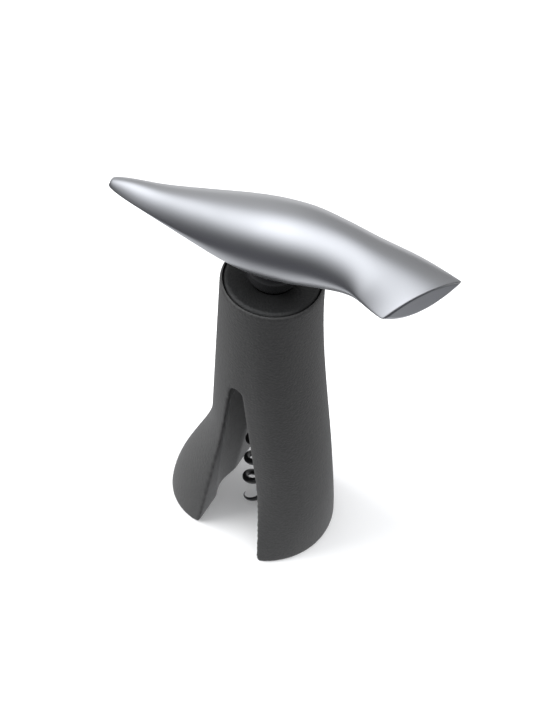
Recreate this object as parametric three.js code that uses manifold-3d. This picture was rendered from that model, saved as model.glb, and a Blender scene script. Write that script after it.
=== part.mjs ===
// Continuous-turn corkscrew: a bell-shaped frame on two legs, a black collar in its top, and a sculpted
// metal handle that carries the worm down the middle of the bell. Millimetres, +Z up. The origin is on
// the table, on the worm's axis. The legs stand along X, and the two slots between them face -Y and +Y.
import * as THREE from 'three';
import { mergeVertices } from 'three/addons/utils/BufferGeometryUtils.js';
import Module from 'manifold-3d';

const wasm = await Module();
wasm.setup();

// Bell frame
const SHELL_TOP = 135.3;        // height of the moulding's rim
const TUBE_R = 18.45;           // outer radius of the round top
const LEFT_FLARE = 15.75;       // how far the left leg sweeps out past the tube
const LEFT_FLARE_FROM = 61;     // height at which that sweep begins
const RIGHT_FLARE = 13.55;      // the right leg leans out evenly from the top
const LEFT_DEPTH = 3.2;         // growth of each leg's half depth at its foot
const RIGHT_DEPTH = 9.8;
const DEPTH_FROM = 42;
const FOOT_EASE = 1.2;          // rounding under the feet
const NECK_R = 14.8;            // takes a 29 mm bottle neck
const NECK_STOP = 78;           // the bottle's rim stops here
const CORK_R = 13.2;            // chamber that the drawn cork rises into
const SEAT_FLOOR = 116;         // floor of the collar's seat
const SEAT_R = 15.2;
const RIM_FLOOR = 132.4;        // the collar's flange lies in a shallow rim
const RIM_R = 17.6;
const SLOT_LEFT = 13;           // reach of the slots to each leg at the table
const SLOT_RIGHT = 15;
const SLOT_TOP = 2.6;           // radius of their round tops
const SLOT_ARC_Z = 87;          // height of that radius's centre
const SLOT_LEAN = -2.4;         // the tops stand this far towards the left leg

// Collar and worm guide
const GAP = 0.3;                // clearance between fitted pieces
const COLLAR_TOP = 135.6;
const COLLAR_EDGE = 0.9;        // rounding of the flange's outer edge
const COLLAR_HOLE = 7.8;        // the ball of the hub rests in this hole
const PLATE_FLOOR = 130.5;      // underside of the collar's top plate
const BORE_R = 10.5;            // bore that holds the guide bush from below
const BUSH_LOW = 119;
const BUSH_R = 5.8;             // lets the worm's coils pass
const CLIP_THICK = 0.9;
const CLIP_R = 8;               // inside of the clip that holds the bush

// Hub: a ball bearing the handle on the collar, cupped by the handle's underside
const BALL_R = 10.4;
const BALL_Z = 142.9;
const HUB_BASE = 134.2;
const HUB_TOP = 148;
const SLEEVE_R = 4.2;           // outside of the bearing sleeve

// Worm and its fixing in the handle
const WORM_TIP = 1.8;           // height of the point above the table
const WORM_PITCH = 12.6;
const COIL_R = 4.1;             // radius of the wire's centre line
const WIRE_R = 1.25;
const COIL_TOP = 101;           // the coils run in to the shank above this
const SHANK_FROM = 112;
const SHANK_R = 2.2;
const SHANK_TOP = 158;
const WASHER_R = 6.6;
const CUP_TOP = 149.5;          // flat bottom of the handle's cup, over the thrust washer
const SOCKET_TOP = 160;         // blind end of the handle's socket
const FERRULE_R = 4.5;
const FERRULE_TOP = 159;
const PIN_Z = 154.5;
const PIN_R = 1.1;

// Handle: height of the centre line, half width, half height, and how sharp the sides are
// (0 is an ellipse, 1 is a lens with two edges), from the nose to the tail.
const HANDLE = [
  { x: -65.2, z: 147.2, wide: 1.3, high: 1.0, edge: 0.6 },
  { x: -64.2, z: 147.3, wide: 2.7, high: 2.1, edge: 0.7 },
  { x: -58.0, z: 147.7, wide: 4.8, high: 3.9, edge: 0.9 },
  { x: -46.0, z: 148.7, wide: 7.4, high: 5.8, edge: 0.75 },
  { x: -31.0, z: 150.8, wide: 10.6, high: 9.0, edge: 0.45 },
  { x: -16.0, z: 153.1, wide: 13.1, high: 12.2, edge: 0.12 },
  { x: -3.0, z: 155.4, wide: 14.3, high: 14.2, edge: 0 },
  { x: 9.0, z: 158.2, wide: 14.2, high: 14.0, edge: 0 },
  { x: 21.0, z: 160.6, wide: 12.9, high: 12.3, edge: 0.1 },
  { x: 32.0, z: 161.8, wide: 12.5, high: 10.0, edge: 0.3 },
  { x: 43.0, z: 161.3, wide: 13.8, high: 7.8, edge: 0.6 },
  { x: 55.6, z: 157.9, wide: 14.2, high: 5.5, edge: 0.9 },
];
const TAIL_SKEW = 0.55;         // the tail is cut off at a slant across its width
const TAIL_LEAN = 0.05;         // and leans out at the top, so the cut faces down
const TAIL_SAG = 0.2;           // the tail is this much fuller below than above
const TAIL_FROM = 28;           // where the slant begins to build up
const TAIL_RIM = 0.8;           // rounding around the cut

const SIDES = 36;

const satinSteel = () => new THREE.MeshStandardMaterial({ color: 0xb4b7bc, roughness: 0.28, metalness: 1 });
const steel = () => new THREE.MeshStandardMaterial({ color: 0x9c9ea0, roughness: 0.35, metalness: 1 });
const brass = () => new THREE.MeshStandardMaterial({ color: 0xb89a58, roughness: 0.35, metalness: 1 });
const greyPlastic = () => new THREE.MeshStandardMaterial({ color: 0x55575a, roughness: 0.6, metalness: 0 });
const blackPlastic = () => new THREE.MeshStandardMaterial({ color: 0x1c1d1e, roughness: 0.45, metalness: 0 });
const glossBlack = () => new THREE.MeshStandardMaterial({ color: 0x101112, roughness: 0.15, metalness: 0 });
const nylon = () => new THREE.MeshStandardMaterial({ color: 0x2c2d2e, roughness: 0.5, metalness: 0 });
const blackCoat = () => new THREE.MeshStandardMaterial({ color: 0x121314, roughness: 0.35, metalness: 0.2 });

const group = new THREE.Group();

function node(name, geometry, material) {
  const mesh = new THREE.Mesh(geometry, material);
  mesh.name = name;
  group.add(mesh);
}

// A closed skin through rings of points, with a fan over each end.
function loft(rings) {
  const count = rings[0].length;
  const points = rings.flat();
  const index = [];
  for (let r = 0; r + 1 < rings.length; r += 1) {
    for (let i = 0; i < count; i += 1) {
      const a = r * count + i;
      const b = r * count + ((i + 1) % count);
      index.push(a, b, a + count, b, b + count, a + count);
    }
  }
  const addEnd = (ring, first, flip) => {
    const centre = ring.reduce((sum, p) => sum.add(p), new THREE.Vector3()).divideScalar(count);
    const hub = points.push(centre) - 1;
    for (let i = 0; i < count; i += 1) {
      const a = first + i;
      const b = first + ((i + 1) % count);
      index.push(...(flip ? [hub, b, a] : [hub, a, b]));
    }
  };
  addEnd(rings[0], 0, true);
  addEnd(rings[rings.length - 1], (rings.length - 1) * count, false);
  const geometry = new THREE.BufferGeometry().setFromPoints(points);
  geometry.setIndex(index);
  return geometry;
}

function toSolid(geometry) {
  const bare = geometry.clone();
  bare.deleteAttribute('normal');
  bare.deleteAttribute('uv');
  const merged = mergeVertices(bare, 1e-4);
  return new wasm.Manifold(new wasm.Mesh({
    numProp: 3,
    vertProperties: new Float32Array(merged.attributes.position.array),
    triVerts: new Uint32Array(merged.index.array),
  }));
}

function toGeometry(solid) {
  const mesh = solid.getMesh();
  const geometry = new THREE.BufferGeometry();
  geometry.setAttribute('position', new THREE.BufferAttribute(mesh.vertProperties, 3));
  geometry.setIndex(new THREE.BufferAttribute(mesh.triVerts, 1));
  return geometry;
}

// A turned solid about the Z axis, from [radius, height] points listed upwards on the outside.
function turned(profile, sides = SIDES) {
  const points = profile.map(([r, z]) => new THREE.Vector2(r, z));
  return new THREE.LatheGeometry(points, sides).rotateX(Math.PI / 2);
}

function disc(radius, low, high, sides = SIDES) {
  return turned([[0, low], [radius, low], [radius, high], [0, high]], sides);
}

// A washer, sleeve or ring: its profile closes on itself.
function ring(inner, outer, low, high, sides = SIDES) {
  return turned([[inner, low], [outer, low], [outer, high], [inner, high], [inner, low]], sides);
}

function arc(cx, cz, radius, from, to, steps) {
  const points = [];
  for (let i = 0; i <= steps; i += 1) {
    const angle = THREE.MathUtils.degToRad(from + ((to - from) * i) / steps);
    points.push([cx + radius * Math.cos(angle), cz + radius * Math.sin(angle)]);
  }
  return points;
}

// The bell's section at one height: a half round on each leg, joined by straight sides.
function bellRing(z) {
  const ease = z < FOOT_EASE ? FOOT_EASE - Math.sqrt(FOOT_EASE ** 2 - (FOOT_EASE - z) ** 2) : 0;
  const spread = Math.max(0, 1 - z / DEPTH_FROM) ** 2;
  const left = TUBE_R + LEFT_FLARE * THREE.MathUtils.smoothstep(LEFT_FLARE_FROM - z, 0, LEFT_FLARE_FROM);
  const right = TUBE_R + RIGHT_FLARE * THREE.MathUtils.smoothstep(SHELL_TOP - z, 0, SHELL_TOP);
  const points = [];
  for (const [side, reach, extra] of [[1, right, RIGHT_DEPTH], [-1, left, LEFT_DEPTH]]) {
    const depth = TUBE_R + extra * spread;
    const offset = Math.max(0.05, reach - depth);
    for (const [x, y] of arc(0, 0, depth - ease, -90, 90, SIDES / 2)) {
      points.push(new THREE.Vector3(side * (offset + x), side * y, z));
    }
  }
  return points;
}

function bellShell() {
  const rings = [];
  for (let i = 0; i <= 4; i += 1) rings.push(bellRing(FOOT_EASE * (1 - Math.cos((i / 4) * (Math.PI / 2)))));
  const levels = 20;
  for (let i = 1; i <= levels; i += 1) {
    rings.push(bellRing(FOOT_EASE + (SHELL_TOP - FOOT_EASE) * (i / levels) ** 1.25));
  }
  const bore = turned([
    [0, -1], [NECK_R, -1], [NECK_R, NECK_STOP], [CORK_R, NECK_STOP + 1.6], [CORK_R, SEAT_FLOOR],
    [SEAT_R, SEAT_FLOOR], [SEAT_R, RIM_FLOOR], [RIM_R, RIM_FLOOR], [RIM_R, SHELL_TOP + 1],
    [0, SHELL_TOP + 1],
  ]);
  return toGeometry(toSolid(loft(rings)).subtract(toSolid(bore)).subtract(toSolid(slotCutter())));
}

// The slots: one tapering arch cut straight through the bell along Y.
function slotCutter() {
  const reach = 60;
  const outline = new THREE.Shape();
  outline.moveTo(-SLOT_LEFT, -1);
  outline.lineTo(SLOT_RIGHT, -1);
  outline.lineTo(SLOT_LEAN + SLOT_TOP, SLOT_ARC_Z);
  outline.absarc(SLOT_LEAN, SLOT_ARC_Z, SLOT_TOP, 0, Math.PI, false);
  outline.closePath();
  const cutter = new THREE.ExtrudeGeometry(outline, { depth: reach, bevelEnabled: false, curveSegments: 12 });
  return cutter.rotateX(Math.PI / 2).translate(0, reach / 2, 0);
}

function collarRing() {
  const flange = RIM_R - GAP;
  const edge = arc(flange - COLLAR_EDGE, COLLAR_TOP - COLLAR_EDGE, COLLAR_EDGE, 0, 90, 5);
  const low = SEAT_FLOOR + GAP;
  return turned([
    [BORE_R, low], [SEAT_R - GAP, low], [SEAT_R - GAP, RIM_FLOOR + GAP], [flange, RIM_FLOOR + GAP],
    ...edge, [COLLAR_HOLE, COLLAR_TOP], [COLLAR_HOLE, PLATE_FLOOR], [BORE_R, PLATE_FLOOR], [BORE_R, low],
  ], 44);
}

// The snap ring under the guide bush is open on one side, so that it can be sprung in.
function bushClip() {
  const low = BUSH_LOW - GAP - CLIP_THICK;
  const body = toSolid(ring(CLIP_R, BORE_R - GAP, low, low + CLIP_THICK));
  const mouth = new THREE.BoxGeometry(5, 4, 4).translate(BORE_R - 1, 0, low);
  return toGeometry(body.subtract(toSolid(mouth)));
}

// The hub's round side runs from its flat base past the ball's middle to its flat top.
function hubDome() {
  const angleAt = (z) => THREE.MathUtils.radToDeg(Math.asin((z - BALL_Z) / BALL_R));
  const dome = arc(0, BALL_Z, BALL_R, angleAt(HUB_BASE), angleAt(HUB_TOP), 14);
  const hole = SLEEVE_R + GAP;
  return turned([[hole, HUB_BASE], ...dome, [hole, HUB_TOP], [hole, HUB_BASE]], 44);
}

function shankClip() {
  const low = HUB_BASE - GAP - CLIP_THICK;
  const body = toSolid(ring(SHANK_R + 0.25, 4.6, low, low + CLIP_THICK, 32));
  const mouth = new THREE.BoxGeometry(4, 2.4, 4).translate(0, 4, low).rotateZ(-Math.PI / 2);
  return toGeometry(body.subtract(toSolid(mouth)));
}

// The wire's centre line winds up around the axis, then runs in to it under the shank.
function wormCentre(z) {
  const turn = ((z - WORM_TIP) / WORM_PITCH) * 2 * Math.PI + Math.PI;
  const radius = COIL_R * (1 - THREE.MathUtils.smoothstep(z, COIL_TOP, SHANK_FROM));
  return new THREE.Vector3(radius * Math.cos(turn), radius * Math.sin(turn), z);
}

function worm() {
  const steps = Math.round(((SHANK_FROM + 2 - WORM_TIP) / WORM_PITCH) * 15);
  const rings = [];
  for (let i = 0; i <= steps; i += 1) {
    const z = WORM_TIP + ((SHANK_FROM + 2 - WORM_TIP) * i) / steps;
    const centre = wormCentre(z);
    const along = wormCentre(z + 0.05).sub(wormCentre(z - 0.05)).normalize();
    const turn = ((z - WORM_TIP) / WORM_PITCH) * 2 * Math.PI + Math.PI;
    const out = new THREE.Vector3(Math.cos(turn), Math.sin(turn), 0);
    out.addScaledVector(along, -out.dot(along)).normalize();
    const side = new THREE.Vector3().crossVectors(along, out);
    const point = THREE.MathUtils.smoothstep(z, WORM_TIP - 0.6, WORM_TIP + WORM_PITCH * 0.55);
    const radius = WIRE_R * (0.12 + 0.88 * point);
    rings.push(arc(0, 0, radius, 0, 315, 7).map(([a, b]) => centre.clone()
      .addScaledVector(out, a).addScaledVector(side, b)));
  }
  const pinHole = disc(PIN_R + 0.15, -10, 10, 20).rotateY(Math.PI / 2).translate(0, 0, PIN_Z);
  const shank = toSolid(disc(SHANK_R, SHANK_FROM - 1, SHANK_TOP, 32));
  return toGeometry(toSolid(loft(rings)).add(shank).subtract(toSolid(pinHole)));
}

// The handle's outline values at x, read from smooth curves through its stations.
const handleCurve = new THREE.CatmullRomCurve3(HANDLE.map((s) => new THREE.Vector3(s.x, s.wide, s.high)));
const handleLine = new THREE.CatmullRomCurve3(HANDLE.map((s) => new THREE.Vector3(s.x, s.z, s.edge * 10)));

function handleRing(t, shrink, back) {
  const { x, y: wide, z: high } = handleCurve.getPoint(t);
  const { y: height, z: edge10 } = handleLine.getPoint(t);
  const sharp = 1 + THREE.MathUtils.clamp(edge10 / 10, 0, 1);
  const slant = THREE.MathUtils.smoothstep(x, TAIL_FROM, HANDLE[HANDLE.length - 1].x);
  const points = [];
  for (let i = 0; i < SIDES; i += 1) {
    const angle = (i / SIDES) * 2 * Math.PI;
    const y = Math.max(0, wide - shrink) * Math.cos(angle);
    const rise = Math.abs(Math.sin(angle)) ** sharp * Math.sign(Math.sin(angle));
    const up = Math.max(0.1, high - shrink) * rise * (1 - TAIL_SAG * slant * Math.sign(rise));
    points.push(new THREE.Vector3(x - back + slant * (TAIL_SKEW * y + TAIL_LEAN * up), y, height + up));
  }
  return points;
}

function handleCasting() {
  const rings = [];
  const steps = 40;
  for (let i = 0; i < steps; i += 1) rings.push(handleRing(i / steps, 0, 0));
  for (const turn of [0, 30, 60, 90]) {
    const angle = THREE.MathUtils.degToRad(turn);
    rings.push(handleRing(1, TAIL_RIM * (1 - Math.cos(angle)), TAIL_RIM * (1 - Math.sin(angle))));
  }
  const cup = arc(0, BALL_Z, BALL_R + GAP, -90, 38.1, 18);
  const cupTool = turned([...cup, [Math.sqrt((BALL_R + GAP) ** 2 - (CUP_TOP - BALL_Z) ** 2), CUP_TOP], [0, CUP_TOP]]);
  const socket = disc(FERRULE_R + GAP, CUP_TOP - 1, SOCKET_TOP, 32);
  return toGeometry(toSolid(loft(rings)).subtract(toSolid(cupTool)).subtract(toSolid(socket)));
}

function shankFerrule() {
  const sleeve = toSolid(ring(SHANK_R + GAP, FERRULE_R, CUP_TOP + GAP, FERRULE_TOP, 32));
  const pinHole = disc(PIN_R + 0.15, -10, 10, 20).rotateY(Math.PI / 2).translate(0, 0, PIN_Z);
  return toGeometry(sleeve.subtract(toSolid(pinHole)));
}

const pinLength = 2 * FERRULE_R - 0.6;
const crossPin = disc(PIN_R, -pinLength / 2, pinLength / 2, 20).rotateY(Math.PI / 2).translate(0, 0, PIN_Z);

node('bell_shell', bellShell(), greyPlastic());
node('collar_ring', collarRing(), blackPlastic());
node('worm_guide_bush', ring(BUSH_R, BORE_R - GAP, BUSH_LOW, PLATE_FLOOR - GAP), nylon());
node('bush_retaining_clip', bushClip(), steel());
node('hub_dome', hubDome(), glossBlack());
node('hub_bearing_sleeve', ring(SHANK_R + GAP, SLEEVE_R, HUB_BASE, HUB_TOP, 32), brass());
node('thrust_washer', ring(SHANK_R + GAP, WASHER_R, HUB_TOP + GAP, CUP_TOP - GAP), steel());
node('handle_casting', handleCasting(), satinSteel());
node('shank_ferrule', shankFerrule(), steel());
node('shank_cross_pin', crossPin, steel());
node('shank_clip', shankClip(), steel());
node('worm', worm(), blackCoat());

export default group;
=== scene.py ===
import math

import bpy
from mathutils import Matrix, Vector


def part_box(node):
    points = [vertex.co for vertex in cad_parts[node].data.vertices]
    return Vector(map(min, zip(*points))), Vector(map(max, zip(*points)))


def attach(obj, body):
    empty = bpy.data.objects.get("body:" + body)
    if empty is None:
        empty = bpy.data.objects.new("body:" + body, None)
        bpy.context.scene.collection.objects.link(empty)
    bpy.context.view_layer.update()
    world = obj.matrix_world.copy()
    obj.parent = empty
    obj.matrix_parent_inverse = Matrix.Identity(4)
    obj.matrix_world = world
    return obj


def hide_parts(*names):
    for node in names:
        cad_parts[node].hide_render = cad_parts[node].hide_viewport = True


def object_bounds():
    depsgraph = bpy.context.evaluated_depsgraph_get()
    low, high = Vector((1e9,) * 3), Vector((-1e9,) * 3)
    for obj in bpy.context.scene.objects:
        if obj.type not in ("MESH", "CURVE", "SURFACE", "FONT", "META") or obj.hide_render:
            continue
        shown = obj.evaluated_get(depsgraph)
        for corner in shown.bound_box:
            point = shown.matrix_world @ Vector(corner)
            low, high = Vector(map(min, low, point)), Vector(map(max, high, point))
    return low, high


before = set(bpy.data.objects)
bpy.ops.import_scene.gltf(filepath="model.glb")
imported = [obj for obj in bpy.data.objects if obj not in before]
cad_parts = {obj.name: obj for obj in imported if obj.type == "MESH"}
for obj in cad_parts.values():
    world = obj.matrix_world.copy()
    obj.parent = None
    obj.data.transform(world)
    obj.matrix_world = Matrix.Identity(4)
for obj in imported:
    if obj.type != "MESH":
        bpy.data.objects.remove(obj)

cad_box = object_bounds()

# ---------------------------------------------------------------------------------------------
# The table and the studio.
# A wide white table top under one broad soft light, with a soft box on each side. The room in front
# is unlit, and is what the polished handle shows as its dark band. The top itself glows with painted
# light.

table_size = 6.0
table_roughness, table_shine = 0.75, 0.2
table_mottle_scale, table_whites = 40, (0.86, 0.88)
# Painted glow: the top's emission seen by the camera, weak near the object and strong far from it.
painted_glow_reach, painted_glow_levels = (0.12, 0.60), (0.10, 0.70)
# Painted pool of light: the glow that every ray but the camera's sees on the top. It is bright under
# the object and fades out away from it.
painted_pool_stops = [(0.02, (0.80, 0.81, 0.83, 1)), (0.26, (0.09, 0.09, 0.10, 1))]
painted_behind_reach, painted_behind_level = (0.04, 0.25), 0.8


def add_node(tree, kind, values=None, **settings):
    """Adds a node to a node tree, with its settings and then the values of its sockets."""
    node = tree.nodes.new(kind)
    for setting, choice in settings.items():
        setattr(node, setting, choice)
    for socket, value in (values or {}).items():
        node.inputs[socket].default_value = value
    return node


def wire(tree, *wires):
    """Links sockets. Each wire is a node and its output, then a node and its input."""
    for source, output, target, socket in wires:
        tree.links.new(source.outputs[output], target.inputs[socket])


bpy.ops.object.select_all(action="DESELECT")
bpy.ops.mesh.primitive_plane_add(size=table_size, location=(0, 0, cad_box[0][2]))
table_top = bpy.context.object
table_top.name = table_top.data.name = "table_top"
bpy.ops.object.transform_apply(location=True, rotation=True, scale=True)

# The top is a white sheet that glows with painted light. The camera sees a painted glow that is weak
# near the object and strong far from it. Every other ray, including the ones that light the object
# and show in polished pieces, sees a painted pool of light instead. It is bright under the object and
# behind it, and fades into the unlit room in front.
table_paint = bpy.data.materials.new("table_white")
table_paint.use_nodes = True
table_tree = table_paint.node_tree
table_skin = table_tree.nodes["Principled BSDF"]
table_skin.inputs["Roughness"].default_value = table_roughness
table_skin.inputs["Specular IOR Level"].default_value = table_shine
table_skin.inputs["Emission Color"].default_value = (1, 1, 1, 1)
table_place = add_node(table_tree, "ShaderNodeTexCoord")
table_mottle = add_node(table_tree, "ShaderNodeTexNoise", {"Scale": table_mottle_scale})
table_tint = add_node(table_tree, "ShaderNodeMapRange",
                      {"To Min": table_whites[0], "To Max": table_whites[1]})
table_split = add_node(table_tree, "ShaderNodeSeparateXYZ")
table_reach = add_node(table_tree, "ShaderNodeVectorMath", operation="LENGTH")
# Painted pool of light and painted reflection: bright near the object and behind it, dark in front.
table_painted_pool = add_node(table_tree, "ShaderNodeValToRGB")
table_painted_pool.color_ramp.interpolation = "EASE"
for stop, (position, colour) in zip(table_painted_pool.color_ramp.elements, painted_pool_stops):
    stop.position = position
    stop.color = colour
table_painted_behind = add_node(table_tree, "ShaderNodeMapRange",
                        {"From Min": painted_behind_reach[0], "From Max": painted_behind_reach[1],
                         "To Max": painted_behind_level})
table_painted_light = add_node(table_tree, "ShaderNodeMix", {"Factor": 1},
                      data_type="RGBA", blend_type="LIGHTEN")
table_painted_reflection = add_node(table_tree, "ShaderNodeEmission")
table_rays = add_node(table_tree, "ShaderNodeLightPath")
# Painted glow that rises with distance from the object.
table_painted_glow = add_node(table_tree, "ShaderNodeMapRange",
                     {"From Min": painted_glow_reach[0], "From Max": painted_glow_reach[1],
                      "To Min": painted_glow_levels[0], "To Max": painted_glow_levels[1]})
table_unseen = add_node(table_tree, "ShaderNodeMath", {0: 1}, operation="SUBTRACT")
table_choice = add_node(table_tree, "ShaderNodeMixShader")
wire(table_tree,
     (table_place, "Object", table_mottle, "Vector"),
     (table_mottle, "Fac", table_tint, "Value"),
     (table_tint, "Result", table_skin, "Base Color"),
     (table_place, "Object", table_reach, 0),
     (table_place, "Object", table_split, "Vector"),
     (table_reach, "Value", table_painted_pool, "Fac"),
     (table_split, "Y", table_painted_behind, "Value"),
     (table_painted_pool, "Color", table_painted_light, "A"),
     (table_painted_behind, "Result", table_painted_light, "B"),
     (table_painted_light, "Result", table_painted_reflection, "Color"),
     (table_reach, "Value", table_painted_glow, "Value"),
     (table_painted_glow, "Result", table_skin, "Emission Strength"),
     (table_rays, "Is Camera Ray", table_unseen, 1),
     (table_unseen, "Value", table_choice, "Fac"),
     (table_skin, "BSDF", table_choice, 1),
     (table_painted_reflection, "Emission", table_choice, 2),
     (table_choice, "Shader", table_tree.nodes["Material Output"], "Surface"))
table_top.data.materials.append(table_paint)

camera_azimuth = math.radians(24.895)
camera_elevation = math.radians(51.835)
camera_roll = math.radians(5.0)
camera_distance = 0.76584
camera_sensor, camera_lens, camera_near = 36, 105.6, 0.05
look_height, look_right = 0.08939, 0.0015
camera_back = Vector((math.sin(camera_azimuth) * math.cos(camera_elevation),
                      -math.cos(camera_azimuth) * math.cos(camera_elevation),
                      math.sin(camera_elevation)))
level_right = Vector((math.cos(camera_azimuth), math.sin(camera_azimuth), 0))
level_up = camera_back.cross(level_right)
camera_right = level_right * math.cos(camera_roll) + level_up * math.sin(camera_roll)
camera_up = level_up * math.cos(camera_roll) - level_right * math.sin(camera_roll)
camera_place = (Vector((0, 0, look_height)) + level_right * look_right
                + camera_back * camera_distance)
bpy.ops.object.camera_add()
camera = bpy.context.object
camera.matrix_world = Matrix((camera_right, camera_up, camera_back)).transposed().to_4x4()
camera.location = camera_place
camera.data.sensor_width = camera_sensor
camera.data.lens = camera_lens
camera.data.clip_start = camera_near
bpy.context.scene.camera = camera


def soft_box(name, place, size, watts):
    """Hangs a rectangular studio light that points at the middle of the object."""
    bpy.ops.object.light_add(type="AREA", location=place)
    light = bpy.context.object
    light.name = light.data.name = name
    light.data.shape = "RECTANGLE"
    light.data.size, light.data.size_y = size
    light.data.energy = watts
    aim = Vector((0, 0, look_height)) - Vector(place)
    light.rotation_euler = aim.to_track_quat("-Z", "Y").to_euler()
    return light


side_box_size = (0.9, 0.8)
left_box_place, left_box_watts = (-0.85, -0.36, 0.40), 17.0
right_box_place, right_box_watts = (0.85, 0.40, 0.35), 9.0
for side_box in (soft_box("left_box", left_box_place, side_box_size, left_box_watts),
                 soft_box("right_box", right_box_place, side_box_size, right_box_watts)):
    side_box.visible_glossy = False

# The room is one broad overhead light, long from left to right, that fades smoothly to a dark
# front and a grey back wall. A flag dims its right side, and its left side is a little stronger.
room_strength = 1.35
overhead_stretch, overhead_aim = (0.35, 1, 1), (0, -0.208, 0.978)
overhead_levels = [(0.0, 0.03), (0.26, 0.06), (0.45, 0.13), (0.63, 0.29), (0.78, 0.56),
                   (0.90, 0.88), (1.0, 1.15)]
overhead_tint = (0.98, 0.995, 1.02)
back_wall_reach, back_wall_level = 0.5, 0.27
flag_aim, flag_reach, flag_level = (-0.75, 0, 1), (-0.25, 0.20), 0.15
left_lift_reach, left_lift_levels = (-0.25, -0.60), (1.0, 1.4)
seen_grey = (0.70, 0.70, 0.70, 1)
room = bpy.data.worlds.new("studio_room")
room.use_nodes = True
bpy.context.scene.world = room
room_tree = room.node_tree
room_air = room_tree.nodes["Background"]
room_air.inputs["Strength"].default_value = room_strength
room_place = add_node(room_tree, "ShaderNodeTexCoord")
room_long = add_node(room_tree, "ShaderNodeVectorMath", {1: overhead_stretch}, operation="MULTIPLY")
room_aim = add_node(room_tree, "ShaderNodeVectorMath", operation="NORMALIZE")
room_overhead = add_node(room_tree, "ShaderNodeVectorMath", {1: overhead_aim},
                         operation="DOT_PRODUCT")
room_shade = add_node(room_tree, "ShaderNodeValToRGB")
while len(room_shade.color_ramp.elements) < len(overhead_levels):
    room_shade.color_ramp.elements.new(0.5)
for stop, (position, level) in zip(room_shade.color_ramp.elements, overhead_levels):
    stop.position = position
    stop.color = (*(level * tint for tint in overhead_tint), 1)
room_split = add_node(room_tree, "ShaderNodeSeparateXYZ")
room_back = add_node(room_tree, "ShaderNodeMapRange",
                     {"From Max": back_wall_reach, "To Max": back_wall_level},
                     interpolation_type="SMOOTHSTEP")
room_right = add_node(room_tree, "ShaderNodeVectorMath", {1: flag_aim}, operation="DOT_PRODUCT")
room_flag = add_node(room_tree, "ShaderNodeMapRange",
                     {"From Min": flag_reach[0], "From Max": flag_reach[1], "To Min": flag_level},
                     interpolation_type="SMOOTHSTEP")
room_left = add_node(room_tree, "ShaderNodeMapRange",
                     {"From Min": left_lift_reach[0], "From Max": left_lift_reach[1],
                      "To Min": left_lift_levels[0], "To Max": left_lift_levels[1]},
                     interpolation_type="SMOOTHSTEP")
room_sides = add_node(room_tree, "ShaderNodeMath", operation="MULTIPLY")
room_dim = add_node(room_tree, "ShaderNodeMix", {"Factor": 1},
                    data_type="RGBA", blend_type="MULTIPLY")
room_walls = add_node(room_tree, "ShaderNodeMix", {"Factor": 1},
                      data_type="RGBA", blend_type="LIGHTEN")
room_seen = add_node(room_tree, "ShaderNodeLightPath")
room_mix = add_node(room_tree, "ShaderNodeMix", {"B": seen_grey}, data_type="RGBA")
wire(room_tree,
     (room_place, "Generated", room_long, 0),
     (room_long, "Vector", room_aim, 0),
     (room_aim, "Vector", room_overhead, 0),
     (room_place, "Generated", room_right, 0),
     (room_right, "Value", room_flag, "Value"),
     (room_place, "Generated", room_split, "Vector"),
     (room_overhead, "Value", room_shade, "Fac"),
     (room_split, "Y", room_back, "Value"),
     (room_shade, "Color", room_walls, "A"),
     (room_back, "Result", room_walls, "B"),
     (room_walls, "Result", room_dim, "A"),
     (room_split, "X", room_left, "Value"),
     (room_flag, "Result", room_sides, 0),
     (room_left, "Result", room_sides, 1),
     (room_sides, "Value", room_dim, "B"),
     (room_dim, "Result", room_mix, "A"),
     (room_seen, "Is Camera Ray", room_mix, "Factor"),
     (room_mix, "Result", room_air, "Color"))
bpy.context.scene.view_settings.view_transform = "Standard"

# ---------------------------------------------------------------------------------------------
# Bell frame.
# One injection moulding in glass-filled grey plastic with a fine spark-eroded texture. A round
# tube at the top opens into two flared legs, bored for the bottle neck and slotted front and back.

shell_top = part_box("bell_shell")[1][2]
tube_radius, tube_sides = 0.01845, 96
left_flare, left_flare_from = 0.01575, 0.061
right_flare = 0.01355
left_depth, right_depth, depth_from = 0.0032, 0.0098, 0.042
foot_ease = 0.0012
shell_levels = 60
neck_radius, neck_stop = 0.0148, 0.078
chamber_radius, chamber_lead = 0.0132, 0.0016
seat_floor, seat_radius = 0.116, 0.0152
rim_floor, rim_radius = 0.1324, 0.0176
slot_left, slot_right, slot_root = 0.013, 0.015, -0.001
slot_lean, slot_arc_height, slot_arc_radius = -0.0024, 0.087, 0.0026
foot_corner = 0.0028
past_floor, past_top, past_side = -0.004, 0.002, 0.06
on_axis = 1e-6
skin_grain, relax_factor, relax_rounds, kept_share = 0.0005, 0.5, 24, 0.45


def smooth_step(value, low, high):
    share = min(max((value - low) / (high - low), 0), 1)
    return share * share * (3 - 2 * share)


def choose_edges(piece, test):
    """Opens the piece for editing with only those edges selected whose two ends pass the test."""
    bpy.context.view_layer.objects.active = piece
    bpy.ops.object.mode_set(mode="EDIT")
    bpy.ops.mesh.select_mode(type="EDGE")
    bpy.ops.mesh.select_all(action="DESELECT")
    bpy.ops.object.mode_set(mode="OBJECT")
    for edge in piece.data.edges:
        edge.select = test(*(piece.data.vertices[i].co for i in edge.vertices))
    bpy.ops.object.mode_set(mode="EDIT")


def line_through(name, points):
    """Draws a line of vertices through the points, one extrusion after another."""
    bpy.ops.object.select_all(action="DESELECT")
    bpy.ops.mesh.primitive_plane_add(size=0.001, location=(0, 0, 0))
    line = bpy.context.object
    line.name = line.data.name = name
    bpy.ops.object.mode_set(mode="EDIT")
    bpy.ops.mesh.select_mode(type="VERT")
    bpy.ops.mesh.merge(type="CENTER")
    bpy.ops.transform.translate(value=points[0])
    for start, end in zip(points, points[1:]):
        step = Vector(end) - Vector(start)
        bpy.ops.mesh.extrude_region_move(TRANSFORM_OT_translate={"value": step})
    bpy.ops.object.mode_set(mode="OBJECT")
    return line


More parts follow.
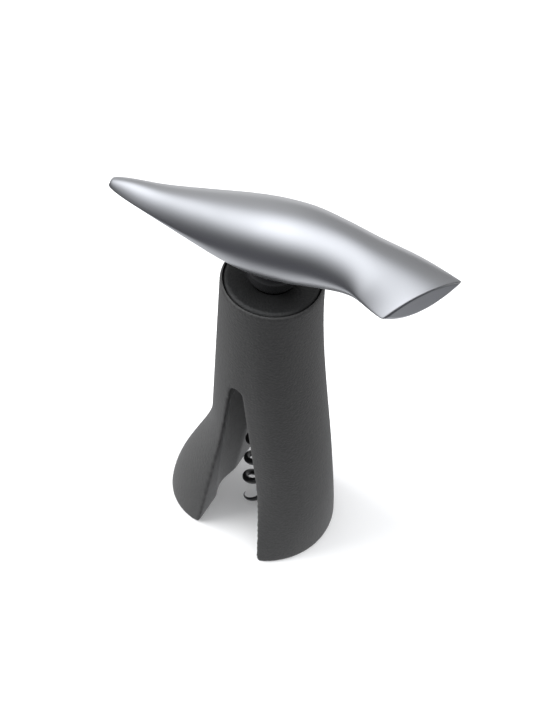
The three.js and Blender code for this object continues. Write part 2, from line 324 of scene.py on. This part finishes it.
def turn_piece(name, profile, steps=128):
    """Turns a profile of (radius, height) points about the corkscrew's own axis."""
    piece = line_through(name, [(radius, 0, height) for radius, height in profile])
    bpy.ops.object.mode_set(mode="EDIT")
    bpy.ops.mesh.select_all(action="SELECT")
    bpy.ops.mesh.spin(steps=steps, angle=math.tau, center=(0, 0, 0), axis=(0, 0, 1))
    bpy.ops.mesh.select_all(action="SELECT")
    bpy.ops.mesh.remove_doubles(threshold=1e-6)
    bpy.ops.mesh.dissolve_degenerate(threshold=1e-7)
    bpy.ops.mesh.normals_make_consistent(inside=False)
    bpy.ops.object.mode_set(mode="OBJECT")
    return piece


def arc_points(centre, radius, start, end, steps):
    """Points on an arc in the (radius, height) plane, its angles in degrees."""
    angles = [math.radians(start + (end - start) * i / steps) for i in range(steps + 1)]
    return [(centre[0] + radius * math.cos(a), centre[1] + radius * math.sin(a)) for a in angles]


def cut_away(piece, cutter):
    """Machines the cutter's shape out of the piece and throws the cutter away."""
    bpy.context.view_layer.objects.active = piece
    cut = piece.modifiers.new("cut", "BOOLEAN")
    cut.operation = "DIFFERENCE"
    cut.solver = "EXACT"
    cut.object = cutter
    bpy.ops.object.modifier_apply(modifier="cut")
    bpy.data.objects.remove(cutter)


def smooth_by_angle(piece, degrees):
    bpy.ops.object.select_all(action="DESELECT")
    piece.select_set(True)
    bpy.context.view_layer.objects.active = piece
    bpy.ops.object.shade_smooth_by_angle(angle=math.radians(degrees))


bpy.ops.object.select_all(action="DESELECT")
bpy.ops.mesh.primitive_cylinder_add(vertices=tube_sides, radius=tube_radius, depth=shell_top,
                                    location=(0, 0, shell_top / 2))
bell = bpy.context.object
bell.name = bell.data.name = "bell_frame"
bpy.ops.object.transform_apply(location=True, rotation=True, scale=True)
choose_edges(bell, lambda a, b: abs(a.z - b.z) > shell_top / 2)
bpy.ops.mesh.subdivide(number_cuts=shell_levels - 1)
bpy.ops.object.mode_set(mode="OBJECT")
for corner in bell.data.vertices:
    place = corner.co
    left_reach = tube_radius + left_flare * smooth_step(left_flare_from - place.z, 0, left_flare_from)
    right_reach = tube_radius + right_flare * smooth_step(shell_top - place.z, 0, shell_top)
    spread = max(0, 1 - place.z / depth_from) ** 2
    left_half = tube_radius + left_depth * spread
    right_half = tube_radius + right_depth * spread
    if abs(place.x) < on_axis:
        place.y *= (left_half + right_half) / 2 / tube_radius
    else:
        reach, half = (right_reach, right_half) if place.x > 0 else (left_reach, left_half)
        place.y *= half / tube_radius
        place.x = place.x * half / tube_radius + math.copysign(reach - half, place.x)

# The feet are eased all round with a small radius.
choose_edges(bell, lambda a, b: max(a.z, b.z) < on_axis)
bpy.ops.mesh.bevel(offset=foot_ease, segments=4, affect="EDGES", clamp_overlap=False)
bpy.ops.object.mode_set(mode="OBJECT")

neck_bore = turn_piece("neck_bore", [
    (0, past_floor), (neck_radius, past_floor), (neck_radius, neck_stop),
    (chamber_radius, neck_stop + chamber_lead), (chamber_radius, shell_top + past_top),
    (0, shell_top + past_top)])
cut_away(bell, neck_bore)

# The two slots are one tapering arch straight through, with its foot corners rounded.
slot_rise = slot_arc_height - slot_root
slot_slope_left = (slot_left + slot_lean - slot_arc_radius) / slot_rise
slot_slope_right = (slot_right - slot_lean - slot_arc_radius) / slot_rise
left_edge = -slot_left + slot_slope_left * foot_corner
right_edge = slot_right - slot_slope_right * foot_corner
slot_outline = (
    [(left_edge - foot_corner, past_floor)]
    + arc_points((left_edge - foot_corner, foot_corner), foot_corner, -90, 0, 6)
    + arc_points((slot_lean, slot_arc_height), slot_arc_radius, 180, 0, 16)
    + arc_points((right_edge + foot_corner, foot_corner), foot_corner, 180, 270, 6)
    + [(right_edge + foot_corner, past_floor)])
slot_cutter = line_through("slot_cutter", [(x, -past_side, z) for x, z in slot_outline])
bpy.ops.object.mode_set(mode="EDIT")
bpy.ops.mesh.select_all(action="SELECT")
bpy.ops.mesh.edge_face_add()
bpy.ops.mesh.extrude_region_move(TRANSFORM_OT_translate={"value": (0, 2 * past_side, 0)})
bpy.ops.mesh.select_all(action="SELECT")
bpy.ops.mesh.normals_make_consistent(inside=False)
bpy.ops.object.mode_set(mode="OBJECT")
cut_away(bell, slot_cutter)

# A mould has no sharp edges: the whole skin is remade at one even grain and relaxed.
remesh = bell.modifiers.new("even_skin", "REMESH")
remesh.mode = "VOXEL"
remesh.voxel_size = skin_grain
remesh.use_smooth_shade = True
bpy.context.view_layer.objects.active = bell
bpy.ops.object.modifier_apply(modifier="even_skin")
relax = bell.modifiers.new("relax", "SMOOTH")
relax.factor = relax_factor
relax.iterations = relax_rounds
bpy.ops.object.modifier_apply(modifier="relax")
thin = bell.modifiers.new("thin_out", "DECIMATE")
thin.ratio = kept_share
bpy.ops.object.modifier_apply(modifier="thin_out")

# The seat and the shallow rim that the collar drops into are cut last, and stay crisp.
seat_cutter = turn_piece("seat_cutter", [
    (0, seat_floor), (seat_radius, seat_floor), (seat_radius, rim_floor), (rim_radius, rim_floor),
    (rim_radius, shell_top + past_top), (0, shell_top + past_top)], steps=160)
cut_away(bell, seat_cutter)
smooth_by_angle(bell, 40)


def new_finish(name, colour, roughness, metallic=0.0):
    """Starts a finish, with the plain values that its patterns then vary."""
    finish = bpy.data.materials.new(name)
    finish.use_nodes = True
    skin = finish.node_tree.nodes["Principled BSDF"]
    skin.inputs["Base Color"].default_value = (*colour, 1)
    skin.inputs["Roughness"].default_value = roughness
    skin.inputs["Metallic"].default_value = metallic
    return finish, finish.node_tree, skin


def group_socket(group, name, direction, kind="NodeSocketFloat", value=None):
    socket = group.interface.new_socket(name=name, in_out=direction, socket_type=kind)
    if value is not None:
        socket.default_value = value


# Moulding texture: two sizes of fine pits, with a slow mottle that a mould leaves in the resin.
pit_share, mottle_share, pit_depth = 0.6, 0.4, 0.0003
mould_texture = bpy.data.node_groups.new("mould_texture", "ShaderNodeTree")
group_socket(mould_texture, "Pits per Metre", "INPUT", value=2600.0)
group_socket(mould_texture, "Dark Colour", "INPUT", "NodeSocketColor", (0.04, 0.04, 0.04, 1))
group_socket(mould_texture, "Light Colour", "INPUT", "NodeSocketColor", (0.06, 0.06, 0.06, 1))
group_socket(mould_texture, "Smooth Roughness", "INPUT", value=0.5)
group_socket(mould_texture, "Dry Roughness", "INPUT", value=0.7)
group_socket(mould_texture, "Colour", "OUTPUT", "NodeSocketColor")
group_socket(mould_texture, "Roughness", "OUTPUT")
group_socket(mould_texture, "Height", "OUTPUT")
mt_in = add_node(mould_texture, "NodeGroupInput")
mt_out = add_node(mould_texture, "NodeGroupOutput")
mt_place = add_node(mould_texture, "ShaderNodeTexCoord")
mt_pits = add_node(mould_texture, "ShaderNodeTexNoise", {"Detail": 2, "Roughness": 0.6})
mt_mottle = add_node(mould_texture, "ShaderNodeTexNoise", {"Scale": 90, "Detail": 3})
mt_colour = add_node(mould_texture, "ShaderNodeMix", data_type="RGBA")
mt_blend = add_node(mould_texture, "ShaderNodeMath", {1: pit_share}, operation="MULTIPLY_ADD")
mt_share = add_node(mould_texture, "ShaderNodeMath", {1: mottle_share}, operation="MULTIPLY")
mt_rough = add_node(mould_texture, "ShaderNodeMapRange")
wire(mould_texture,
     (mt_place, "Object", mt_pits, "Vector"),
     (mt_place, "Object", mt_mottle, "Vector"),
     (mt_in, "Pits per Metre", mt_pits, "Scale"),
     (mt_mottle, "Fac", mt_share, 0),
     (mt_pits, "Fac", mt_blend, 0),
     (mt_share, "Value", mt_blend, 2),
     (mt_blend, "Value", mt_colour, "Factor"),
     (mt_in, "Dark Colour", mt_colour, "A"),
     (mt_in, "Light Colour", mt_colour, "B"),
     (mt_mottle, "Fac", mt_rough, "Value"),
     (mt_in, "Smooth Roughness", mt_rough, "To Min"),
     (mt_in, "Dry Roughness", mt_rough, "To Max"),
     (mt_colour, "Result", mt_out, "Colour"),
     (mt_rough, "Result", mt_out, "Roughness"),
     (mt_pits, "Fac", mt_out, "Height"))


def moulded_finish(name, dark, light, smooth, dry, pits, strength):
    """A moulded plastic: the mould texture drives its colour, roughness and bump."""
    finish, tree, skin = new_finish(name, light, dry)
    texture = add_node(tree, "ShaderNodeGroup",
                       {"Pits per Metre": pits, "Dark Colour": (*dark, 1),
                        "Light Colour": (*light, 1), "Smooth Roughness": smooth,
                        "Dry Roughness": dry}, node_tree=mould_texture)
    bump = add_node(tree, "ShaderNodeBump", {"Strength": strength, "Distance": pit_depth})
    wire(tree,
         (texture, "Colour", skin, "Base Color"),
         (texture, "Roughness", skin, "Roughness"),
         (texture, "Height", bump, "Height"),
         (bump, "Normal", skin, "Normal"))
    return finish


grey_moulding = moulded_finish("grey_moulding", (0.0190, 0.0190, 0.0188), (0.066, 0.0658, 0.0650),
                               smooth=0.46, dry=0.62, pits=1150, strength=1.0)
bell.data.materials.clear()
bell.data.materials.append(grey_moulding)
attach(bell, "frame")
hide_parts("bell_shell")

# ---------------------------------------------------------------------------------------------
# Collar.
# A black plastic ring turned to a flat top with a rounded rim. It drops into the bell's seat and
# carries the hub's ball in the hole of its top plate.

collar_low, collar_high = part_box("collar_ring")
collar_top, flange_radius = collar_high[2], collar_high[0]
collar_edge, collar_play = 0.0019, 0.0003
collar_hole, collar_hole_edge = 0.0078, 0.0004
plate_floor, collar_bore = 0.1305, 0.0105
collar = turn_piece("collar_ring_turned", [
    (collar_bore, collar_low[2]), (seat_radius - collar_play, collar_low[2]),
    (seat_radius - collar_play, rim_floor + collar_play),
    (flange_radius, rim_floor + collar_play)]
    + arc_points((flange_radius - collar_edge, collar_top - collar_edge), collar_edge, 0, 90, 8)
    + arc_points((collar_hole + collar_hole_edge, collar_top - collar_hole_edge),
                 collar_hole_edge, 90, 180, 5)
    + [(collar_hole, plate_floor), (collar_bore, plate_floor), (collar_bore, collar_low[2])])
smooth_by_angle(collar, 35)
black_moulding = moulded_finish("black_moulding", (0.006, 0.0062, 0.0062), (0.020, 0.0205, 0.0205),
                                smooth=0.34, dry=0.50, pits=1700, strength=0.7)
collar.data.materials.append(black_moulding)
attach(collar, "frame")
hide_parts("collar_ring")

# ---------------------------------------------------------------------------------------------
# Hub.
# A gloss black ball with a flat top and base, bored for its bearing sleeve. It turns in the
# collar's hole and fills the cup under the handle.

hub_low, hub_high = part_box("hub_dome")
ball_radius, ball_height = hub_high[0], 0.1429
hub_hole = 0.0045
ball_angles = [math.degrees(math.asin((z - ball_height) / ball_radius))
               for z in (hub_low[2], hub_high[2])]
hub_ball = turn_piece("hub_ball", [(hub_hole, hub_low[2])]
                      + arc_points((0, ball_height), ball_radius, ball_angles[0], ball_angles[1], 40)
                      + [(hub_hole, hub_high[2]), (hub_hole, hub_low[2])])
smooth_by_angle(hub_ball, 30)

# Handling marks: slow smudges and hairline scratches, for polished pieces.
scratch_depth = 0.00002
handling_marks = bpy.data.node_groups.new("handling_marks", "ShaderNodeTree")
group_socket(handling_marks, "Clean Roughness", "INPUT", value=0.2)
group_socket(handling_marks, "Smudged Roughness", "INPUT", value=0.3)
group_socket(handling_marks, "Smudge Scale", "INPUT", value=60.0)
group_socket(handling_marks, "Roughness", "OUTPUT")
group_socket(handling_marks, "Smudges", "OUTPUT")
group_socket(handling_marks, "Scratches", "OUTPUT")
hm_in = add_node(handling_marks, "NodeGroupInput")
hm_out = add_node(handling_marks, "NodeGroupOutput")
hm_place = add_node(handling_marks, "ShaderNodeTexCoord")
hm_smudge = add_node(handling_marks, "ShaderNodeTexNoise", {"Detail": 4, "Distortion": 0.6})
hm_stretch = add_node(handling_marks, "ShaderNodeMapping",
                      {"Rotation": (0.3, 0.2, 0.5), "Scale": (260, 5200, 5200)})
hm_scratch = add_node(handling_marks, "ShaderNodeTexNoise", {"Scale": 1.0, "Detail": 2})
hm_rough = add_node(handling_marks, "ShaderNodeMapRange", {"From Min": 0.3, "From Max": 0.7})
wire(handling_marks,
     (hm_place, "Object", hm_smudge, "Vector"),
     (hm_place, "Object", hm_stretch, "Vector"),
     (hm_stretch, "Vector", hm_scratch, "Vector"),
     (hm_in, "Smudge Scale", hm_smudge, "Scale"),
     (hm_in, "Clean Roughness", hm_rough, "To Min"),
     (hm_in, "Smudged Roughness", hm_rough, "To Max"),
     (hm_smudge, "Fac", hm_rough, "Value"),
     (hm_rough, "Result", hm_out, "Roughness"),
     (hm_smudge, "Fac", hm_out, "Smudges"),
     (hm_scratch, "Fac", hm_out, "Scratches"))


def polished_finish(name, colour, shade, clean, smudged, metallic, strength, scale=60.0):
    """A polished finish: handling marks vary its colour and roughness, and scratch it finely."""
    finish, tree, skin = new_finish(name, colour, clean, metallic)
    marks = add_node(tree, "ShaderNodeGroup",
                     {"Clean Roughness": clean, "Smudged Roughness": smudged,
                      "Smudge Scale": scale}, node_tree=handling_marks)
    tint = add_node(tree, "ShaderNodeMix", {"A": (*colour, 1), "B": (*shade, 1)}, data_type="RGBA")
    bump = add_node(tree, "ShaderNodeBump", {"Strength": strength, "Distance": scratch_depth})
    wire(tree,
         (marks, "Smudges", tint, "Factor"),
         (tint, "Result", skin, "Base Color"),
         (marks, "Roughness", skin, "Roughness"),
         (marks, "Scratches", bump, "Height"),
         (bump, "Normal", skin, "Normal"))
    return finish


gloss_black = polished_finish("gloss_black", (0.012, 0.012, 0.013), (0.018, 0.018, 0.019),
                              clean=0.20, smudged=0.28, metallic=0.0, strength=0.05)
hub_ball.data.materials.append(gloss_black)
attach(hub_ball, "hub_carriage")
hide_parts("hub_dome")

# ---------------------------------------------------------------------------------------------
# Handle.
# One cast lever in aluminium, satin blasted: a pointed nose with a soft ridge down its side, a
# full belly over the hub, and a flattened tail cut off at a slant. It is held by the ferrule.

handle_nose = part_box("handle_casting")[0][0]
# Each station: distance along, height of the middle, half width, half height, edge sharpness.
handle_stations = [
    (-0.0652, 0.1472, 0.0013, 0.0010, 0.60),
    (-0.0642, 0.1473, 0.0027, 0.0021, 0.70),
    (-0.0580, 0.1477, 0.0048, 0.0039, 0.90),
    (-0.0460, 0.1487, 0.0074, 0.0058, 0.75),
    (-0.0310, 0.1508, 0.0106, 0.0090, 0.45),
    (-0.0160, 0.1531, 0.0131, 0.0122, 0.12),
    (-0.0030, 0.1554, 0.0143, 0.0142, 0.00),
    (0.0090, 0.1582, 0.0142, 0.0140, 0.00),
    (0.0210, 0.1606, 0.0129, 0.0123, 0.10),
    (0.0320, 0.1618, 0.0125, 0.0100, 0.30),
    (0.0430, 0.1613, 0.0138, 0.0078, 0.60),
    (0.0556, 0.1579, 0.0142, 0.0055, 0.90),
]
tail_skew, tail_lean, tail_sag, tail_from = 0.55, 0.05, 0.2, 0.028
tail_rim, tail_pinch, rim_rings, tail_edge = 0.0012, 1.7, 4, 0.00015
handle_sides, handle_levels = 24, 48
cage_fill = 3 / (2 + math.cos(math.tau / handle_sides))


def station_at(share):
    """The handle's five values at a share of its length, on smooth curves through the stations."""
    last = len(handle_stations) - 1
    along = share * last
    first = min(int(along), last - 1)
    t = along - first
    picks = [handle_stations[min(max(first + i, 0), last)] for i in (-1, 0, 1, 2)]
    return [0.5 * (2 * b + (c - a) * t + (2 * a - 5 * b + 4 * c - d) * t ** 2
                   + (3 * b - a - 3 * c + d) * t ** 3) for a, b, c, d in zip(*picks)]


bpy.ops.object.select_all(action="DESELECT")
bpy.ops.mesh.primitive_cylinder_add(vertices=handle_sides, radius=1, depth=1,
                                    end_fill_type="NOTHING", rotation=(0, math.pi / 2, 0))
handle = bpy.context.object
handle.name = handle.data.name = "handle_lever"
bpy.ops.object.transform_apply(location=True, rotation=True, scale=True)
choose_edges(handle, lambda a, b: abs(a.x - b.x) > 0.5)
bpy.ops.mesh.subdivide(number_cuts=handle_levels - 1)
bpy.ops.object.mode_set(mode="OBJECT")
for corner in handle.data.vertices:
    ring = round((corner.co.x + 0.5) * handle_levels)
    turn = max(0, ring - (handle_levels - rim_rings)) / rim_rings * math.pi / 2
    x, height, wide, high, sharp = station_at(min(1, ring / (handle_levels - rim_rings)))
    angle = math.atan2(corner.co.z, corner.co.y)
    slant = smooth_step(x, tail_from, handle_stations[-1][0])
    shrink = tail_rim * (1 - math.cos(turn))
    across = (wide - tail_pinch * shrink) * cage_fill * math.cos(angle)
    above = math.copysign(1, math.sin(angle))
    rise = abs(math.sin(angle)) ** (1 + min(max(sharp, 0), 1)) * above
    sag = 1 - tail_sag * slant * above
    up = (high - min(shrink, high / 2)) * cage_fill * rise * sag
    along = x - slant * tail_rim * (1 - math.sin(turn))
    corner.co = (along + slant * (tail_skew * across + tail_lean * up), across, height + up)

# The nose is closed with a small cap, and the whole skin is subdivided before the tail is cut.
choose_edges(handle, lambda a, b: max(a.x, b.x) < handle_nose + 1e-5)
bpy.ops.mesh.edge_face_add()
bpy.ops.object.mode_set(mode="OBJECT")
bpy.context.view_layer.objects.active = handle
refine = handle.modifiers.new("refine", "SUBSURF")
refine.levels = refine.render_levels = 2
bpy.ops.object.modifier_apply(modifier="refine")
bpy.ops.object.mode_set(mode="EDIT")
bpy.ops.mesh.select_all(action="DESELECT")
bpy.ops.mesh.select_mode(type="EDGE")
bpy.ops.mesh.select_non_manifold(extend=False, use_wire=False, use_boundary=True,
                                 use_multi_face=False, use_non_contiguous=False, use_verts=False)
bpy.ops.mesh.edge_face_add()
bpy.ops.mesh.select_all(action="SELECT")
bpy.ops.mesh.normals_make_consistent(inside=False)
bpy.ops.object.mode_set(mode="OBJECT")
tail_face = max(handle.data.polygons, key=lambda face: len(face.vertices)).index
bpy.ops.object.mode_set(mode="EDIT")
bpy.ops.mesh.select_mode(type="FACE")
bpy.ops.mesh.select_all(action="DESELECT")
bpy.ops.object.mode_set(mode="OBJECT")
handle.data.polygons[tail_face].select = True
bpy.ops.object.mode_set(mode="EDIT")
bpy.ops.mesh.inset(thickness=tail_edge)
bpy.ops.object.mode_set(mode="OBJECT")

# The cup under the belly takes the ball, and a blind socket above it takes the ferrule.
cup_play, cup_top = 0.0003, 0.1495
cup_radius = ball_radius + cup_play
socket_radius, socket_top = 0.0048, 0.160
cup_angle = math.degrees(math.asin((cup_top - ball_height) / cup_radius))
cup_cutter = turn_piece("cup_cutter", arc_points((0, ball_height), cup_radius, -90, cup_angle, 48)
                        + [(socket_radius, cup_top), (socket_radius, socket_top), (0, socket_top)])
cut_away(handle, cup_cutter)
smooth_by_angle(handle, 32)
satin_casting = polished_finish("satin_casting", (0.64, 0.65, 0.675), (0.60, 0.61, 0.635),
                                clean=0.32, smudged=0.36, metallic=1.0, strength=0.03,
                                scale=45.0)
handle.data.materials.clear()
handle.data.materials.append(satin_casting)
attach(handle, "turning_unit")
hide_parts("handle_casting")

# ---------------------------------------------------------------------------------------------
# Worm.
# A spring-steel wire wound right-handed to a ground point, with a slick black coating. Above the
# last coil it runs in to the axis and thickens into a straight shank, cross-drilled for its pin.

worm_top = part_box("worm")[1][2]
worm_tip, worm_pitch, steps_per_turn = 0.0018, 0.0126, 34
coil_radius, wire_radius = 0.0041, 0.00125
coil_top, shank_from, shank_radius = 0.101, 0.112, 0.0022
point_share, point_from, point_to = 0.1, worm_tip - 0.0006, worm_tip + 0.007
thicken_from, thicken_to = shank_from - 0.006, shank_from + 0.001
pin_play, pin_hole_length = 0.00015, 0.02
worm_path = []
for step in range(int((shank_from - worm_tip) / worm_pitch * steps_per_turn) + 1):
    height = worm_tip + worm_pitch * step / steps_per_turn
    turn = (height - worm_tip) / worm_pitch * math.tau + math.pi
    swing = coil_radius * (1 - smooth_step(height, coil_top, shank_from))
    worm_path.append((swing * math.cos(turn), swing * math.sin(turn), height))
worm_path += [(0, 0, shank_from + 0.001), (0, 0, shank_from + 0.003), (0, 0, worm_top)]
worm = line_through("worm_wire", worm_path)
bpy.ops.object.convert(target="CURVE")
worm.data.bevel_depth = wire_radius
worm.data.bevel_resolution = 6
worm.data.use_fill_caps = True
for point in worm.data.splines[0].points:
    ground = point_share + (1 - point_share) * smooth_step(point.co.z, point_from, point_to)
    thicker = smooth_step(point.co.z, thicken_from, thicken_to)
    point.radius = ground * (1 + (shank_radius / wire_radius - 1) * thicker)
bpy.ops.object.convert(target="MESH")
worm = bpy.context.object
bpy.ops.object.mode_set(mode="EDIT")
bpy.ops.mesh.select_all(action="SELECT")
bpy.ops.mesh.remove_doubles(threshold=1e-6)
bpy.ops.mesh.normals_make_consistent(inside=False)
bpy.ops.object.mode_set(mode="OBJECT")
pin_low, pin_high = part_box("shank_cross_pin")
pin_height = (pin_low[2] + pin_high[2]) / 2
bpy.ops.object.select_all(action="DESELECT")
pin_hole_radius = (pin_high[2] - pin_low[2]) / 2 + pin_play
bpy.ops.mesh.primitive_cylinder_add(vertices=32, radius=pin_hole_radius, depth=pin_hole_length,
                                    location=(0, 0, pin_height), rotation=(0, math.pi / 2, 0))
cut_away(worm, bpy.context.object)
smooth_by_angle(worm, 40)
worm_coating = polished_finish("worm_coating", (0.010, 0.010, 0.011), (0.018, 0.018, 0.019),
                               clean=0.26, smudged=0.38, metallic=0.0, strength=0.10,
                               scale=300.0)
worm.data.materials.clear()
worm.data.materials.append(worm_coating)
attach(worm, "turning_unit")
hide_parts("worm")

# ---------------------------------------------------------------------------------------------
# Guide bush.
# A nylon ring pressed up into the collar's bore. The worm's coils slide through it.

guide_nylon = moulded_finish("guide_nylon", (0.018, 0.018, 0.019), (0.030, 0.030, 0.032),
                             smooth=0.38, dry=0.52, pits=1800, strength=0.18)
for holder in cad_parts["worm_guide_bush"].material_slots:
    holder.material = guide_nylon

# ---------------------------------------------------------------------------------------------
# Small steel and brass fittings.
# The two snap clips, thrust washer, ferrule and cross pin are bright steel, and the hub's
# bearing sleeve is brass, all finished on a lathe or stamped.

steel_fittings = polished_finish("steel_fittings", (0.50, 0.50, 0.51), (0.42, 0.42, 0.43),
                                 clean=0.24, smudged=0.36, metallic=1.0, strength=0.20,
                                 scale=200.0)
for name in ("bush_retaining_clip", "thrust_washer", "shank_ferrule", "shank_cross_pin",
             "shank_clip"):
    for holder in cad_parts[name].material_slots:
        holder.material = steel_fittings
sleeve_brass = polished_finish("sleeve_brass", (0.62, 0.45, 0.20), (0.50, 0.35, 0.15),
                               clean=0.24, smudged=0.34, metallic=1.0, strength=0.15,
                               scale=200.0)
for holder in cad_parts["hub_bearing_sleeve"].material_slots:
    holder.material = sleeve_brass
